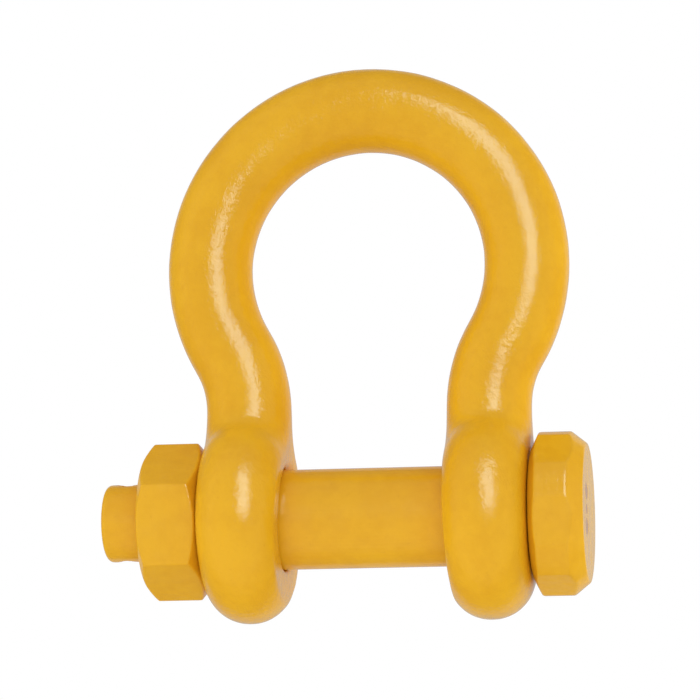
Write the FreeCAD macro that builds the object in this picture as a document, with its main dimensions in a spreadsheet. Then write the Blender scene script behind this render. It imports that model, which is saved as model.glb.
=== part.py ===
import FreeCAD, Part
import Sketcher
import math
import os

# Bow shackle with a safety bolt and a hexagon nut, 28 mm bolt class.
# X runs along the bolt's axis, with the bolt's head at +X and the nut at -X.
# Y runs through the bow, and +Z points from the bolt up to the crown of the bow.
# The origin is on the bolt's axis, half way between the two eyes.

doc = FreeCAD.newDocument("bow_shackle")
sheet = doc.addObject("Spreadsheet::Sheet", "Sizes")

SIZES = [
    # bow
    ("bar_diameter", 23.8),
    ("bow_radius", 45.15),
    ("bow_height", 71.1),
    ("bend_radius", 34.0),
    ("leg_offset", 34.05),
    ("eye_radius", 29.0),
    ("eye_rounding", 11.7),
    ("jaw_width", 46.2),
    ("jaw_runout_height", 34.0),
    ("jaw_runout_rise", 0.35),
    ("hole_diameter", 28.8),
    ("hole_chamfer", 0.9),
    # bolt
    ("bolt_diameter", 28.0),
    ("bolt_shoulder", 45.2),
    ("head_gap", 0.2),
    ("head_width", 43.4),
    ("head_thickness", 15.3),
    ("head_corner_radius", 22.75),
    ("head_end_radius", 19.3),
    ("head_end_chamfer", 4.3),
    ("head_back_radius", 18.4),
    ("head_back_chamfer", 2.2),
    ("head_tilt", 10.8),
    ("groove_width", 3.0),
    ("tail_diameter", 21.8),
    ("tail_end", 74.6),
    ("tail_rounding", 1.6),
    ("pin_hole_diameter", 5.0),
    ("pin_hole_offset", 69.0),
    # thread and nut
    ("thread_diameter", 25.4),
    ("thread_pitch", 3.175),
    ("thread_end", 62.6),
    ("thread_root", 22.0),
    ("thread_clearance", 0.18),
    ("nut_gap", 0.05),
    ("nut_width", 38.4),
    ("nut_thickness", 16.8),
    ("nut_tilt", 7.9),
    ("nut_face_part", 0.96),
]

for row, (name, value) in enumerate(SIZES, start=1):
    sheet.set("A%d" % row, name)
    sheet.set("B%d" % row, str(value))
    sheet.setAlias("B%d" % row, name)
doc.recompute()


def size(name):
    """A driving dimension, read from the sheet."""
    return float(sheet.get(name))


# The leg is straight below this height, where its bend begins.
NECK_HEIGHT = (
    "(Sizes.bow_height - sqrt((Sizes.bow_radius + Sizes.bend_radius)^2"
    " - (Sizes.leg_offset + Sizes.bend_radius)^2))"
)
# The outer faces of both eyes stand this far from the middle plane.
EYE_FACE = "(Sizes.leg_offset + Sizes.bar_diameter / 2)"
THREAD_FLANK_ANGLE = 60.0
NUT_CHAMFER_ANGLE = 30.0
BEYOND = 8.0


def evaluate(expression):
    """The value of an expression over the sheet's cells, as the features will see it."""
    return float(getattr(sheet.evalExpression(expression), "Value", sheet.evalExpression(expression)))


def new_body(name):
    body = doc.addObject("PartDesign::Body", name)
    body.Label = name
    return body


def origin_feature(body, role):
    for feature in body.Origin.OriginFeatures:
        if feature.Role == role:
            return feature
    raise RuntimeError("no origin feature " + role)


def new_sketch(body, name, plane, offset=None):
    """A sketch on one of the body's own origin planes, moved along the plane's normal by an expression."""
    sketch = body.newObject("Sketcher::SketchObject", name)
    sketch.AttachmentSupport = (origin_feature(body, plane), [""])
    sketch.MapMode = "FlatFace"
    if offset:
        sketch.setExpression("AttachmentOffset.Base.z", offset)
    doc.recompute()
    return sketch


def constrain(sketch, name, expression, *constraint):
    """A named dimension of a sketch, bound to the sheet."""
    index = sketch.addConstraint(Sketcher.Constraint(*constraint, evaluate(expression)))
    sketch.renameConstraint(index, name)
    sketch.setExpression("Constraints." + name, expression)


def polygon(sketch, points):
    """A closed outline of straight lines through points given as pairs of expressions."""
    corners = [FreeCAD.Vector(evaluate(x), evaluate(y), 0) for x, y in points]
    count = len(points)
    for i in range(count):
        sketch.addGeometry(Part.LineSegment(corners[i], corners[(i + 1) % count]), False)
    for i in range(count):
        sketch.addConstraint(Sketcher.Constraint("Coincident", i, 2, (i + 1) % count, 1))
    for i, (x, y) in enumerate(points):
        place_point(sketch, "corner%d" % i, (i, 1), (x, y))


def place_point(sketch, name, point, place):
    """Hold a point of a sketch at two distances from the sketch's origin."""
    constrain(sketch, name + "_x", place[0], "DistanceX", -1, 1, *point)
    constrain(sketch, name + "_y", place[1], "DistanceY", -1, 1, *point)


def new_feature(body, kind, name, profile):
    feature = body.newObject("PartDesign::" + kind, name)
    feature.Profile = profile
    return feature


def turn_about_bolt_axis(body, feature):
    feature.ReferenceAxis = (origin_feature(body, "X_Axis"), [""])


def dress(body, kind, name, base, wanted, amount_property, amount):
    """A fillet or chamfer on the edges of the base feature that the test wants."""
    doc.recompute()
    edges = ["Edge%d" % (i + 1) for i, edge in enumerate(base.Shape.Edges) if wanted(edge)]
    feature = body.newObject("PartDesign::" + kind, name)
    feature.Base = (base, edges)
    feature.setExpression(amount_property, amount)
    doc.recompute()
    return feature


def cut_or_fail(feature, before):
    """A cut that points away from the solid removes nothing and shows no error."""
    doc.recompute()
    if feature.Shape.Volume > before - 1.0:
        raise RuntimeError(feature.Label + " cuts nothing")


def is_circle(edge, radius):
    return isinstance(edge.Curve, Part.Circle) and abs(edge.Curve.Radius - radius) < 0.001


def hexagon(sketch, width, tilt):
    """A regular hexagon about the bolt's axis, width across flats, one flat's face towards -Y and tilted."""
    reach = "(%s / (2 * cos(30)))" % width
    points = []
    for corner in range(6):
        angle = "(%d + %s)" % (30 + 60 * corner, tilt)
        points.append(("%s * cos(%s)" % (reach, angle), "%s * sin(%s)" % (reach, angle)))
    polygon(sketch, points)


# ---- bow body: one bar, bent to a bow, with a round-edged eye at each end ----

def eye_outline(body):
    """The side view of an eye, with the neck that runs up into the leg."""
    sketch = new_sketch(body, "eye_outline", "YZ_Plane", "Sizes.leg_offset")
    neck = evaluate(NECK_HEIGHT)
    radius = size("eye_radius")
    half_bar = size("bar_diameter") / 2
    hollow = (neck ** 2 - radius ** 2 + half_bar ** 2) / (2 * (radius - half_bar))
    meet = math.atan2(neck, half_bar + hollow)
    axis = FreeCAD.Vector(0, 0, 1)
    eye = Part.Circle(FreeCAD.Vector(0, 0, 0), axis, radius)
    right = Part.Circle(FreeCAD.Vector(half_bar + hollow, neck, 0), axis, hollow)
    left = Part.Circle(FreeCAD.Vector(-half_bar - hollow, neck, 0), axis, hollow)
    sketch.addGeometry(Part.ArcOfCircle(eye, math.pi - meet, 2 * math.pi + meet), False)
    sketch.addGeometry(Part.ArcOfCircle(right, math.pi, math.pi + meet), False)
    sketch.addGeometry(Part.ArcOfCircle(left, -meet, 0), False)
    top_right = FreeCAD.Vector(half_bar, neck, 0)
    top_left = FreeCAD.Vector(-half_bar, neck, 0)
    sketch.addGeometry(Part.LineSegment(top_right, top_left), False)
    sketch.addConstraint(Sketcher.Constraint("Coincident", 0, 3, -1, 1))
    sketch.addConstraint(Sketcher.Constraint("Tangent", 0, 2, 1, 2))
    sketch.addConstraint(Sketcher.Constraint("Tangent", 0, 1, 2, 1))
    sketch.addConstraint(Sketcher.Constraint("Coincident", 1, 1, 3, 1))
    sketch.addConstraint(Sketcher.Constraint("Coincident", 2, 2, 3, 2))
    sketch.addConstraint(Sketcher.Constraint("Horizontal", 1, 3, 3, 1))
    sketch.addConstraint(Sketcher.Constraint("Horizontal", 2, 3, 3, 2))
    constrain(sketch, "eye_radius", "Sizes.eye_radius", "Radius", 0)
    place_point(sketch, "neck_right", (3, 1), ("Sizes.bar_diameter / 2", NECK_HEIGHT))
    place_point(sketch, "neck_left", (3, 2), ("-Sizes.bar_diameter / 2", NECK_HEIGHT))
    return sketch


def half_centreline(body):
    """Half of the bar's centreline, from the neck through the bend and round to the crown."""
    sketch = new_sketch(body, "half_centreline", "XZ_Plane")
    neck = evaluate(NECK_HEIGHT)
    height = size("bow_height")
    bend_centre = size("leg_offset") + size("bend_radius")
    turn = math.atan2(height - neck, bend_centre)
    axis = FreeCAD.Vector(0, 0, 1)
    bend = Part.Circle(FreeCAD.Vector(bend_centre, neck, 0), axis, size("bend_radius"))
    bow = Part.Circle(FreeCAD.Vector(0, height, 0), axis, size("bow_radius"))
    sketch.addGeometry(Part.ArcOfCircle(bend, math.pi - turn, math.pi), False)
    sketch.addGeometry(Part.ArcOfCircle(bow, -turn, math.pi / 2), False)
    sketch.addConstraint(Sketcher.Constraint("Tangent", 0, 1, 1, 1))
    constrain(sketch, "bend_radius", "Sizes.bend_radius", "Radius", 0)
    constrain(sketch, "bow_radius", "Sizes.bow_radius", "Radius", 1)
    sketch.addConstraint(Sketcher.Constraint("PointOnObject", 1, 3, -2))
    sketch.addConstraint(Sketcher.Constraint("PointOnObject", 1, 2, -2))
    constrain(sketch, "bow_height", "Sizes.bow_height", "DistanceY", -1, 1, 1, 3)
    place_point(sketch, "neck", (0, 2), ("Sizes.leg_offset", NECK_HEIGHT))
    return sketch


def jaw_face_outline(body):
    """What is taken off the inner side of the eye: a flat face that leans and runs out at the neck."""
    sketch = new_sketch(body, "jaw_face_outline", "XZ_Plane")
    middle = "(Sizes.jaw_width / 2)"
    top_face = "(Sizes.leg_offset - Sizes.bar_diameter / 2 - Sizes.jaw_runout_rise)"
    lean = "((%s - %s) / Sizes.jaw_runout_height)" % (middle, top_face)
    bottom = "(-Sizes.eye_radius - %g)" % BEYOND
    polygon(sketch, [
        ("%s - %g" % (top_face, BEYOND), bottom),
        ("%s - %s * %s" % (middle, lean, bottom), bottom),
        (top_face, "Sizes.jaw_runout_height"),
        ("%s - %g" % (top_face, BEYOND), "Sizes.jaw_runout_height"),
    ])
    return sketch


def eye_hole_outline(body):
    """The bored hole of one eye, with a chamfered mouth at each face."""
    sketch = new_sketch(body, "eye_hole_outline", "XZ_Plane")
    inner = "(Sizes.jaw_width / 2)"
    bore = "(Sizes.hole_diameter / 2)"
    mouth = "(%s + 2 * Sizes.hole_chamfer)" % bore
    polygon(sketch, [
        ("%s - Sizes.hole_chamfer" % inner, "0"),
        ("%s - Sizes.hole_chamfer" % inner, mouth),
        ("%s + Sizes.hole_chamfer" % inner, bore),
        ("%s - Sizes.hole_chamfer" % EYE_FACE, bore),
        ("%s + Sizes.hole_chamfer" % EYE_FACE, mouth),
        ("%s + Sizes.hole_chamfer" % EYE_FACE, "0"),
    ])
    return sketch


def round_hole(body, name, diameter, plane):
    """A circle about the sketch's origin."""
    sketch = new_sketch(body, name, plane)
    circle = Part.Circle(FreeCAD.Vector(0, 0, 0), FreeCAD.Vector(0, 0, 1), evaluate(diameter) / 2)
    sketch.addGeometry(circle, False)
    sketch.addConstraint(Sketcher.Constraint("Coincident", 0, 3, -1, 1))
    constrain(sketch, "diameter", diameter, "Diameter", 0)
    return sketch


def make_bow_body():
    body = new_body("bow_body")
    eye = new_feature(body, "Pad", "eye", eye_outline(body))
    eye.SideType = "Symmetric"
    eye.setExpression("Length", "Sizes.bar_diameter")
    neck = evaluate(NECK_HEIGHT)

    def on_a_flat_side(edge):
        box = edge.BoundBox
        return box.XLength < 0.001 and box.ZMin < neck - 0.001

    rim = dress(body, "Fillet", "eye_rim", eye, on_a_flat_side, "Radius", "Sizes.eye_rounding")
    top = max(range(len(rim.Shape.Faces)), key=lambda i: rim.Shape.Faces[i].CenterOfMass.z)
    leg = new_feature(body, "AdditivePipe", "leg", (rim, ["Face%d" % (top + 1)]))
    leg.Spine = (half_centreline(body), [""])
    doc.recompute()
    if leg.Shape.Volume < rim.Shape.Volume + 1.0:
        raise RuntimeError("the leg adds nothing to the eye")
    jaw = new_feature(body, "Pocket", "jaw_face", jaw_face_outline(body))
    jaw.Type = "ThroughAll"
    jaw.SideType = "Symmetric"
    cut_or_fail(jaw, leg.Shape.Volume)
    hole = new_feature(body, "Groove", "eye_hole", eye_hole_outline(body))
    turn_about_bolt_axis(body, hole)
    cut_or_fail(hole, jaw.Shape.Volume)
    bow = body.newObject("PartDesign::Mirrored", "other_half")
    bow.TransformMode = "Whole shape"
    bow.MirrorPlane = (origin_feature(body, "YZ_Plane"), [""])
    body.Tip = bow
    doc.recompute()
    return body


# ---- thread: one vee, whose ridge on the bolt runs in a slightly wider groove in the nut ----

def thread_height(clearance):
    """How far the ridge stands above its root, seen from the side that has the clearance."""
    return "((Sizes.thread_diameter - Sizes.thread_root) / 2 + %s)" % clearance


CREST_WIDTH = "(Sizes.thread_pitch / 8)"
SLOPE = "tan(%g)" % (THREAD_FLANK_ANGLE / 2)
# The ridge of the thread is centred here, one pitch outside the end of the threaded part.
RIDGE_START = "(-Sizes.thread_end - Sizes.thread_pitch)"


def cut_thread(body, name, outline, base):
    """Cut the outline along a right-hand helix about the bolt's axis, past both ends of the thread."""
    sketch = new_sketch(body, name + "_profile", "XZ_Plane")
    polygon(sketch, outline)
    before = base.Shape.Volume
    helix = new_feature(body, "SubtractiveHelix", name, sketch)
    turn_about_bolt_axis(body, helix)
    helix.Mode = "pitch-height-angle"
    helix.setExpression("Pitch", "Sizes.thread_pitch")
    helix.setExpression("Height", "Sizes.thread_end - Sizes.bolt_shoulder + Sizes.thread_pitch / 2")
    helix.LeftHanded = False
    helix.Reversed = False
    cut_or_fail(helix, before)
    return helix


def bolt_groove_outline():
    """The gap between two turns of the bolt's ridge, from the root out past the crest."""
    middle = "(%s + Sizes.thread_pitch / 2)" % RIDGE_START
    root = "(Sizes.thread_root / 2)"
    top = "(Sizes.thread_diameter / 2 + Sizes.thread_clearance)"
    root_half = "((Sizes.thread_pitch - %s) / 2 - %s * %s)" % (CREST_WIDTH, thread_height(0), SLOPE)
    top_half = "(%s + (%s - %s) * %s)" % (root_half, top, root, SLOPE)
    return [
        ("%s - %s" % (middle, root_half), root),
        ("%s + %s" % (middle, root_half), root),
        ("%s + %s" % (middle, top_half), top),
        ("%s - %s" % (middle, top_half), top),
    ]


def nut_groove_outline():
    """The groove in the nut: the bolt's ridge, wider by the clearance on every side."""
    gap = "(Sizes.thread_clearance / cos(%g))" % (THREAD_FLANK_ANGLE / 2)
    crest = "(Sizes.thread_diameter / 2 + Sizes.thread_clearance)"
    inner = "(Sizes.thread_root / 2)"
    crest_half = "(%s / 2 + %s - Sizes.thread_clearance * %s)" % (CREST_WIDTH, gap, SLOPE)
    inner_half = "(%s + (%s - %s) * %s)" % (crest_half, crest, inner, SLOPE)
    return [
        ("%s - %s" % (RIDGE_START, inner_half), inner),
        ("%s + %s" % (RIDGE_START, inner_half), inner),
        ("%s + %s" % (RIDGE_START, crest_half), crest),
        ("%s - %s" % (RIDGE_START, crest_half), crest),
    ]


# ---- bolt: forged head, shank, neck groove, thread and a plain tail with the split pin's hole ----

HEAD_FACE = "(%s + Sizes.head_gap)" % EYE_FACE
HEAD_END = "(%s + Sizes.head_thickness)" % HEAD_FACE


def make_safety_bolt():
    body = new_body("safety_bolt")
    shank_radius = "(Sizes.bolt_diameter / 2)"
    thread_radius = "(Sizes.thread_diameter / 2)"
    tail_radius = "(Sizes.tail_diameter / 2)"
    groove_end = "(-Sizes.bolt_shoulder - Sizes.groove_width)"
    step = "(%s - %s)" % (thread_radius, tail_radius)
    turned = new_sketch(body, "turned_outline", "XZ_Plane")
    polygon(turned, [
        ("%s + 1" % HEAD_FACE, "0"),
        ("%s + 1" % HEAD_FACE, shank_radius),
        ("-Sizes.bolt_shoulder", shank_radius),
        ("-Sizes.bolt_shoulder", tail_radius),
        (groove_end, tail_radius),
        ("%s - %s" % (groove_end, step), thread_radius),
        ("-Sizes.thread_end + %s" % step, thread_radius),
        ("-Sizes.thread_end", tail_radius),
        ("-Sizes.tail_end", tail_radius),
        ("-Sizes.tail_end", "0"),
    ])
    shank = new_feature(body, "Revolution", "turned_shank", turned)
    turn_about_bolt_axis(body, shank)
    tail_end = size("tail_end")

    def at_the_tail_end(edge):
        return is_circle(edge, size("tail_diameter") / 2) and edge.BoundBox.XMin < 0.001 - tail_end

    tail = dress(body, "Fillet", "tail_rounding", shank, at_the_tail_end, "Radius", "Sizes.tail_rounding")

    head_outline = new_sketch(body, "head_outline", "YZ_Plane", HEAD_FACE)
    hexagon(head_outline, "Sizes.head_width", "Sizes.head_tilt")
    head = new_feature(body, "Pad", "head", head_outline)
    head.setExpression("Length", "Sizes.head_thickness")
    doc.recompute()
    if head.Shape.BoundBox.XMax < evaluate(HEAD_END) - 0.001:
        raise RuntimeError("the head points the wrong way")
    trim = new_feature(body, "Groove", "head_corners", head_corner_outline(body))
    turn_about_bolt_axis(body, trim)
    cut_or_fail(trim, head.Shape.Volume)

    pin_hole = new_sketch(body, "pin_hole_outline", "XY_Plane")
    pin_hole.setExpression("AttachmentOffset.Rotation.Angle", "Sizes.nut_tilt")
    pin_hole.AttachmentOffset = FreeCAD.Placement(
        FreeCAD.Vector(0, 0, 0),
        FreeCAD.Rotation(FreeCAD.Vector(1, 0, 0), size("nut_tilt")),
    )
    centre = FreeCAD.Vector(-size("pin_hole_offset"), 0, 0)
    pin_hole.addGeometry(Part.Circle(centre, FreeCAD.Vector(0, 0, 1), size("pin_hole_diameter") / 2), False)
    pin_hole.addConstraint(Sketcher.Constraint("PointOnObject", 0, 3, -1))
    constrain(pin_hole, "pin_hole_offset", "-Sizes.pin_hole_offset", "DistanceX", -1, 1, 0, 3)
    constrain(pin_hole, "pin_hole_diameter", "Sizes.pin_hole_diameter", "Diameter", 0)
    drilled = new_feature(body, "Pocket", "split_pin_hole", pin_hole)
    drilled.Type = "ThroughAll"
    drilled.SideType = "Symmetric"
    cut_or_fail(drilled, trim.Shape.Volume)
    cut_thread(body, "bolt_thread", bolt_groove_outline(), drilled)
    return body


def head_corner_outline(body):
    """What is turned away outside the chamfered envelope of the forged head."""
    sketch = new_sketch(body, "head_corner_outline", "XZ_Plane")
    far = "(Sizes.head_corner_radius + %g)" % BEYOND
    polygon(sketch, [
        (HEAD_END, "Sizes.head_end_radius"),
        ("%s + 1" % HEAD_END, "Sizes.head_end_radius"),
        ("%s + 1" % HEAD_END, far),
        ("%s - 1" % HEAD_FACE, far),
        ("%s - 1" % HEAD_FACE, "Sizes.head_back_radius"),
        (HEAD_FACE, "Sizes.head_back_radius"),
        ("%s + Sizes.head_back_chamfer" % HEAD_FACE, "Sizes.head_corner_radius"),
        ("%s - Sizes.head_end_chamfer" % HEAD_END, "Sizes.head_corner_radius"),
    ])
    return sketch


# ---- nut: hexagon, chamfered at both ends, threaded through ----

NUT_INNER_FACE = "(-%s - Sizes.nut_gap)" % EYE_FACE
NUT_OUTER_FACE = "(%s - Sizes.nut_thickness)" % NUT_INNER_FACE


def nut_chamfer_outline(body, name, face, inward):
    """The corner that a turned chamfer takes off one end of the hexagon."""
    sketch = new_sketch(body, name, "XZ_Plane")
    near = "(Sizes.nut_width / 2 * Sizes.nut_face_part)"
    far = "(Sizes.nut_width / 2 + %g)" % BEYOND
    depth = "(%s - %s) * tan(%g)" % (far, near, NUT_CHAMFER_ANGLE)
    polygon(sketch, [
        (face, near),
        (face, far),
        ("%s + %d * %s" % (face, inward, depth), far),
    ])
    return sketch


def make_hexagon_nut():
    body = new_body("hexagon_nut")
    outline = new_sketch(body, "nut_outline", "YZ_Plane", NUT_OUTER_FACE)
    hexagon(outline, "Sizes.nut_width", "Sizes.nut_tilt")
    block = new_feature(body, "Pad", "nut_block", outline)
    block.setExpression("Length", "Sizes.nut_thickness")
    doc.recompute()
    base = block
    for name, face, inward in (("outer_chamfer", NUT_OUTER_FACE, 1), ("inner_chamfer", NUT_INNER_FACE, -1)):
        chamfer = new_feature(body, "Groove", name, nut_chamfer_outline(body, name + "_outline", face, inward))
        turn_about_bolt_axis(body, chamfer)
        cut_or_fail(chamfer, base.Shape.Volume)
        base = chamfer
    bore_diameter = "(Sizes.thread_root + 2 * Sizes.thread_clearance)"
    bore = new_feature(body, "Pocket", "bore", round_hole(body, "bore_outline", bore_diameter, "YZ_Plane"))
    bore.Type = "ThroughAll"
    bore.SideType = "Symmetric"
    cut_or_fail(bore, base.Shape.Volume)

    def at_a_mouth(edge):
        return is_circle(edge, evaluate(bore_diameter) / 2)

    mouths = dress(body, "Chamfer", "thread_mouths", bore, at_a_mouth, "Size", thread_height("Sizes.thread_clearance"))
    cut_thread(body, "nut_thread", nut_groove_outline(), mouths)
    return body


sub_parts = [make_bow_body(), make_safety_bolt(), make_hexagon_nut()]
doc.recompute()

for item in doc.Objects:
    if "Invalid" in item.State or "Error" in item.State:
        raise RuntimeError("%s did not recompute: %s" % (item.Label, item.State))
for item in sub_parts:
    shape = item.Shape
    if shape.isNull() or not shape.isValid() or len(shape.Solids) != 1:
        raise RuntimeError(item.Label + " is not one valid solid")

os.makedirs("parts", exist_ok=True)
for item in sub_parts:
    item.Shape.exportStep("parts/%s.step" % item.Label)
    box = item.Shape.BoundBox
    print("%s: %.1f x %.1f x %.1f mm, %.0f mm3" % (item.Label, box.XLength, box.YLength, box.ZLength, item.Shape.Volume))
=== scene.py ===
import math
import bpy
from mathutils import Matrix, Vector, noise


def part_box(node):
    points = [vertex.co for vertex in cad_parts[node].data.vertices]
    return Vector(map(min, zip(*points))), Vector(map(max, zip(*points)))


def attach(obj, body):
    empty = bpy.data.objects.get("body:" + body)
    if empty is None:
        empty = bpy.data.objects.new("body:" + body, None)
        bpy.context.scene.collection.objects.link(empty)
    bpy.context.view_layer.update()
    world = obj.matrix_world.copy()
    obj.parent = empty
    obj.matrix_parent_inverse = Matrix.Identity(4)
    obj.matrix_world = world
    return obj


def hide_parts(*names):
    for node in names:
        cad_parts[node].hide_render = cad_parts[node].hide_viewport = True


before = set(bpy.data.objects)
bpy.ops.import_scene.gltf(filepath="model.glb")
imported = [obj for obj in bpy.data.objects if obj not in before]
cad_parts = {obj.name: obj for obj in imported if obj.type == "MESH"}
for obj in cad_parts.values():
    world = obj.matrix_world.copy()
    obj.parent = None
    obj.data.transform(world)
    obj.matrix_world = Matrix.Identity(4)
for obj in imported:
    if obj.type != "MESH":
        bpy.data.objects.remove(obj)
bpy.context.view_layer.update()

# A forged bow shackle in yellow gloss paint. Metres, +X along the bolt towards its head, +Z up to the crown.
MM = 0.001
BOW_LOW, BOW_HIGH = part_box("bow_body")
HEAD_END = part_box("safety_bolt")[1].x
MIDDLE = (BOW_LOW + BOW_HIGH) / 2


# ---- shader nodes ----

class Value:
    """A node's output that can be used in ordinary arithmetic."""

    def __init__(self, nodes, socket):
        self.nodes = nodes
        self.socket = socket

    def _with(self, operation, first, second):
        """One sum of two values or numbers."""
        return self.nodes.node("ShaderNodeMath", {"operation": operation}, {0: first, 1: second})

    def __add__(self, other):
        return self._with("ADD", self, other)

    def __radd__(self, other):
        return self._with("ADD", other, self)

    def __sub__(self, other):
        return self._with("SUBTRACT", self, other)

    def __rsub__(self, other):
        return self._with("SUBTRACT", other, self)

    def __mul__(self, other):
        return self._with("MULTIPLY", self, other)

    def __rmul__(self, other):
        return self._with("MULTIPLY", other, self)

    def __truediv__(self, other):
        return self._with("DIVIDE", self, other)

    def __rtruediv__(self, other):
        return self._with("DIVIDE", other, self)

    def between(self, low, high):
        """0 below low, 1 above high, and a smooth rise between them."""
        limits = {"Value": self, "From Min": low, "From Max": high}
        return self.nodes.node("ShaderNodeMapRange", {"interpolation_type": "SMOOTHSTEP"}, limits)


class Nodes:
    """A node tree, built one node at a time."""

    def __init__(self, tree):
        self.tree = tree
        self.tree.nodes.clear()

    def node(self, kind, settings, inputs, output=0):
        """Add a node: its settings first, then a value or a link for each socket named."""
        made = self.tree.nodes.new(kind)
        for name, value in settings.items():
            setattr(made, name, value)
        for name, value in inputs.items():
            if isinstance(value, Value):
                self.tree.links.new(value.socket, made.inputs[name])
            else:
                made.inputs[name].default_value = value
        return Value(self, made.outputs[output]) if made.outputs else None

    def mix(self, share, first, second):
        """Two colours mixed, the second by its share."""
        return self.node("ShaderNodeMix", {"data_type": "RGBA"}, {"Factor": share, 6: first, 7: second}, 2)

    def axes(self, vector):
        """The three numbers of a vector."""
        return [self.node("ShaderNodeSeparateXYZ", {}, {0: vector}, axis) for axis in range(3)]


class Paint(Nodes):
    """One material, ending in one Principled shader."""

    def __init__(self, name):
        self.material = bpy.data.materials.new(name)
        self.material.use_nodes = True
        super().__init__(self.material.node_tree)
        self.place = self.node("ShaderNodeTexCoord", {}, {}, "Object")

    def noise(self, size, detail=2.0, roughness=0.5, place=None):
        """Noise between 0 and 1, whose lumps are about this many metres across."""
        inputs = {"Vector": place or self.place, "Scale": 1 / size, "Detail": detail, "Roughness": roughness}
        return self.node("ShaderNodeTexNoise", {"noise_dimensions": "3D"}, inputs, "Fac")

    def stretched(self, x, y, z):
        """The place on the piece, scaled along each axis."""
        return self.node("ShaderNodeVectorMath", {"operation": "MULTIPLY"}, {0: self.place, 1: (x, y, z)})

    def bump(self, height, depth, under=None):
        """The surface's direction where height, 0 to 1, raises it by up to depth metres."""
        inputs = {"Height": height, "Distance": depth}
        if under:
            inputs["Normal"] = under
        return self.node("ShaderNodeBump", {}, inputs)

    def finish(self, constants, varying):
        """Close the material: the numbers that are the same all over, and the values that vary."""
        shader = self.node("ShaderNodeBsdfPrincipled", {}, {**constants, **varying})
        self.node("ShaderNodeOutputMaterial", {}, {"Surface": shader})
        return self.material


def linear(red, green, blue):
    """A screen colour, 0 to 255, as the light it stands for."""
    parts = [c / 255 for c in (red, green, blue)]
    return tuple(c / 12.92 if c <= 0.04045 else ((c + 0.055) / 1.055) ** 2.4 for c in parts) + (1.0,)


# ---- yellow gloss paint ----

YELLOW = linear(236, 178, 33)
DEEP_YELLOW = linear(230, 170, 29)
THIN_YELLOW = linear(222, 159, 30)
# Painted shade: a darker yellow laid inside the punch marks, standing in for the shade in their dents.
PUNCH_SHADE_YELLOW = linear(186, 116, 22)
PAINT_IOR = 1.48

# Punch marks on the end of the head, in millimetres: height above the axis, height and width of the oval.
PUNCH_MARKS = ((5.3, 2.3, 4.2), (0.3, 1.5, 2.6), (-4.5, 2.4, 4.2))
PUNCH_COLUMN = -7.0 * MM


def yellow_tone(paint):
    """The paint's colour: broad clouds of a slightly deeper yellow, and flecks where it lies thin."""
    clouds = paint.noise(22 * MM, 3.0, 0.6)
    mottle = paint.noise(3.5 * MM, 4.0, 0.65)
    deep = (clouds * 0.65 + mottle * 0.35).between(0.4, 0.64)
    flecks = paint.noise(1.2 * MM, 3.0, 0.7).between(0.60, 0.74) * 0.4
    return paint.mix(flecks, paint.mix(deep, YELLOW, DEEP_YELLOW), THIN_YELLOW)


def dragged(paint, shift):
    """The place on the piece, pushed about by up to shift metres so that marks in it look torn."""
    ripple = {"Vector": paint.place, "Scale": 260.0, "Detail": 2.0}
    drag = paint.node("ShaderNodeTexNoise", {}, ripple, "Color")
    amounts = {0: drag, 1: (shift, shift, shift), 2: paint.place}
    return paint.node("ShaderNodeVectorMath", {"operation": "MULTIPLY_ADD"}, amounts)


def forged_paint(name, pits, grit):
    """Paint over a forged skin: pits is the depth of the scale marks in metres, grit that of the spray."""
    paint = Paint(name)
    marks = paint.noise(1.7 * MM, 4.0, 0.62, dragged(paint, 1.6 * MM))
    spray = paint.noise(0.6 * MM, 2.0, 0.5)
    waves = paint.noise(12 * MM, 2.0, 0.5)
    surface = paint.bump(waves, 0.6 * pits)
    surface = paint.bump(marks, pits, surface)
    surface = paint.bump(spray, grit, surface)
    dull = paint.noise(5 * MM, 3.0, 0.6).between(0.42, 0.7)
    return paint.finish(
        {"IOR": PAINT_IOR},
        {"Base Color": yellow_tone(paint), "Roughness": 0.04 + dull * 0.04, "Normal": surface},
    )


def machined_paint(name, end_dots):
    """Paint over turned and pressed steel, with faint tool lines round the axis of the bolt."""
    paint = Paint(name)
    lines = paint.noise(0.9 * MM, 2.0, 0.5, paint.stretched(1.0, 0.12, 0.12))
    orange_peel = paint.noise(2.2 * MM, 2.0, 0.5)
    surface = paint.bump(orange_peel, 0.08 * MM)
    surface = paint.bump(lines, 0.03 * MM, surface)
    tone = yellow_tone(paint)
    if end_dots:
        dots = punched_dots(paint)
        # Painted shade inside the punch marks: the dents are darkened in colour as well as sunk by the bump.
        tone = paint.mix(dots * 0.9, tone, PUNCH_SHADE_YELLOW)
        surface = paint.bump(1 - dots, 0.12 * MM, surface)
    dull = paint.noise(6 * MM, 3.0, 0.6).between(0.42, 0.7)
    return paint.finish(
        {"IOR": PAINT_IOR},
        {"Base Color": tone, "Roughness": 0.13 + dull * 0.06, "Normal": surface},
    )


def punched_dots(paint):
    """1 inside the oval punch marks in a column on the end of the bolt's head."""
    x, y, z = paint.axes(paint.place)
    marks = 0.0
    for height, tall, wide in PUNCH_MARKS:
        across = (y - PUNCH_COLUMN) / (wide * MM)
        up = (z - height * MM) / (tall * MM)
        marks = marks + (1 - (across * across + up * up).between(0.55, 1.1))
    return x.between(HEAD_END - 0.6 * MM, HEAD_END - 0.3 * MM) * marks


# ---- pieces ----

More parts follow.
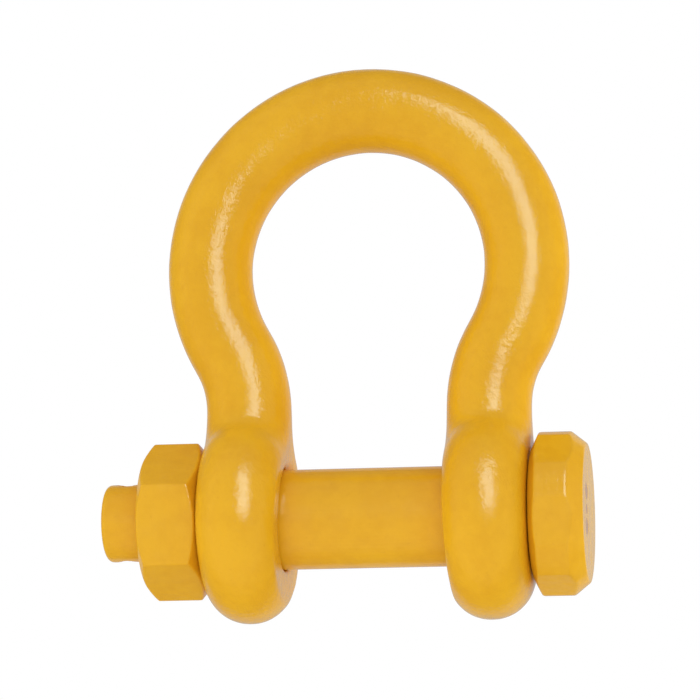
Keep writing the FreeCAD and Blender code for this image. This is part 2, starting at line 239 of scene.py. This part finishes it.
def solid_copy(node, name, grain, rounds):
    """A new mesh over a CAD solid, in even small faces, its edges softened as thick paint softens them."""
    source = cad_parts[node]
    piece = bpy.data.objects.new(name, source.data.copy())
    piece.matrix_world = source.matrix_world.copy()
    bpy.context.scene.collection.objects.link(piece)
    skin = piece.modifiers.new("skin", "REMESH")
    skin.mode = "VOXEL"
    skin.voxel_size = grain
    skin.use_smooth_shade = True
    soften = piece.modifiers.new("soften", "SMOOTH")
    soften.factor = 0.5
    soften.iterations = rounds
    bpy.context.view_layer.update()
    graph = bpy.context.evaluated_depsgraph_get()
    mesh = bpy.data.meshes.new_from_object(piece.evaluated_get(graph))
    piece.modifiers.clear()
    piece.data = mesh
    mesh.name = name
    return piece


def forge(piece, depth, size):
    """Press the slight unevenness of the dies into a piece."""
    mesh = piece.data
    normals = [vertex.normal.copy() for vertex in mesh.vertices]
    for vertex, normal in zip(mesh.vertices, normals):
        vertex.co += normal * (depth * noise.fractal(vertex.co / size, 0.9, 2.0, 3))
    mesh.update()


def dress(piece, body, node, material):
    """Paint a piece, fix it to the body that carries it and let it stand for its CAD node."""
    piece.data.materials.clear()
    piece.data.materials.append(material)
    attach(piece, body)
    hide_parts(node)


def make_bow():
    bow = solid_copy("bow_body", "forged_bow", grain=0.7 * MM, rounds=4)
    forge(bow, depth=0.06 * MM, size=11 * MM)
    paint = forged_paint("bow paint", pits=0.19 * MM, grit=0.018 * MM)
    dress(bow, "bow", "bow_body", paint)


def make_bolt():
    bolt = solid_copy("safety_bolt", "forged_bolt", grain=0.35 * MM, rounds=3)
    dress(bolt, "bolt", "safety_bolt", machined_paint("bolt paint", end_dots=True))


def make_nut():
    nut = solid_copy("hexagon_nut", "painted_nut", grain=0.35 * MM, rounds=3)
    dress(nut, "nut", "hexagon_nut", machined_paint("nut paint", end_dots=False))


# ---- studio ----

CAMERA_AIM = Vector((-5.25, 0.0, 47.65)) * MM
CAMERA_AZIMUTH = 9.0
CAMERA_ELEVATION = -8.96
CAMERA_ROLL = -0.33
CAMERA_DISTANCE = 1.0
FRAME_WIDTH = 0.1971
FLOOR_LEVEL = -0.13
FLOOR_HALF_WIDTH = 3.0

# Name, azimuth in degrees and power in watts.
BROAD_LAMPS = (("left side", -80.0, 2.4), ("right side", 115.0, 7.5), ("front", 0.0, 1.9))


def direction(azimuth, elevation):
    """From the shackle towards that bearing: azimuth 0 is the front, 90 the side of the bolt's head."""
    a, e = math.radians(azimuth), math.radians(elevation)
    return Vector((math.sin(a) * math.cos(e), -math.cos(a) * math.cos(e), math.sin(e)))


def look(thing, back, turn=0.0):
    """Turn a camera or lamp so that it looks back along a direction."""
    thing.rotation_mode = "QUATERNION"
    roll = Matrix.Rotation(turn, 4, "Z").to_quaternion()
    thing.rotation_quaternion = (-back).to_track_quat("-Z", "Y") @ roll


def make_camera():
    data = bpy.data.cameras.new("camera")
    camera = bpy.data.objects.new("camera", data)
    bpy.context.scene.collection.objects.link(camera)
    data.sensor_width = 36.0
    data.lens = data.sensor_width * CAMERA_DISTANCE / FRAME_WIDTH
    data.clip_start = 0.05
    data.clip_end = 20.0
    back = direction(CAMERA_AZIMUTH, CAMERA_ELEVATION)
    look(camera, back, math.radians(CAMERA_ROLL))
    camera.location = CAMERA_AIM + back * CAMERA_DISTANCE
    bpy.context.scene.camera = camera


def soft_box(name, bearing, distance, size, power):
    """A rectangular lamp that faces the shackle, from a bearing of azimuth and elevation in degrees."""
    data = bpy.data.lights.new(name, "AREA")
    data.shape = "RECTANGLE"
    data.size, data.size_y = size
    data.energy = power
    lamp = bpy.data.objects.new(name, data)
    bpy.context.scene.collection.objects.link(lamp)
    back = direction(*bearing)
    look(lamp, back)
    lamp.location = MIDDLE + back * distance
    lamp.visible_camera = False
    return lamp


def make_lamps():
    """A tall strip that draws the long highlights, and broad lamps that only shade."""
    strip = soft_box("strip", (21.0, 24.0), distance=0.9, size=(0.46, 0.86), power=7.2)
    strip.data.color = (0.7, 0.97, 1.0)
    strip.visible_diffuse = False
    broad = [
        soft_box(name, (azimuth, 5.0), distance=1.2, size=(1.0, 0.8), power=power)
        for name, azimuth, power in BROAD_LAMPS
    ]
    low = soft_box("light off the table", (0.0, -60.0), distance=0.16, size=(0.3, 0.2), power=0.04)
    for lamp in broad + [low]:
        lamp.visible_glossy = False


def make_floor():
    paint = Paint("pale floor")
    colour = paint.mix(paint.noise(0.4, 2.0, 0.5), linear(238, 238, 236), linear(245, 245, 243))
    grain = paint.bump(paint.noise(4 * MM, 2.0, 0.5), 0.05 * MM)
    material = paint.finish(
        {"Roughness": 0.9, "Specular IOR Level": 0.1},
        {"Base Color": colour, "Normal": grain},
    )
    half = FLOOR_HALF_WIDTH
    corners = [(-half, -half), (half, -half), (half, half), (-half, half)]
    mesh = bpy.data.meshes.new("floor")
    mesh.from_pydata([(x, y, FLOOR_LEVEL) for x, y in corners], [], [(0, 1, 2, 3)])
    mesh.materials.append(material)
    floor = bpy.data.objects.new("floor", mesh)
    bpy.context.scene.collection.objects.link(floor)
    floor.visible_glossy = False


def grey(level):
    """A grey as light, 0 black and 1 white."""
    return (level, level, level, 1.0)


def make_surroundings():
    """A white room: even light on the paint, and gloss that mirrors a bright sheet behind and dark sides."""
    world = bpy.data.worlds.new("studio")
    bpy.context.scene.world = world
    world.use_nodes = True
    room = Nodes(world.node_tree)
    bearing = room.node("ShaderNodeTexCoord", {}, {}, "Generated")
    y, z = room.axes(bearing)[1:]
    even = room.mix(z.between(-0.1, 0.8), grey(0.9), grey(0.75))
    front_to_side = room.mix(y.between(-0.35, 0.25), grey(0.42), grey(0.14))
    mirrored = room.mix(y.between(0.66, 0.76), front_to_side, grey(0.5))
    ray = "ShaderNodeLightPath"
    lit = room.mix(room.node(ray, {}, {}, "Is Glossy Ray"), even, mirrored)
    seen = room.mix(room.node(ray, {}, {}, "Is Camera Ray"), lit, grey(1.0))
    shader = room.node("ShaderNodeBackground", {}, {"Color": seen})
    room.node("ShaderNodeOutputWorld", {}, {"Surface": shader})


make_bow()
make_bolt()
make_nut()
make_camera()
make_lamps()
make_floor()
make_surroundings()
bpy.context.scene.view_settings.view_transform = "Standard"
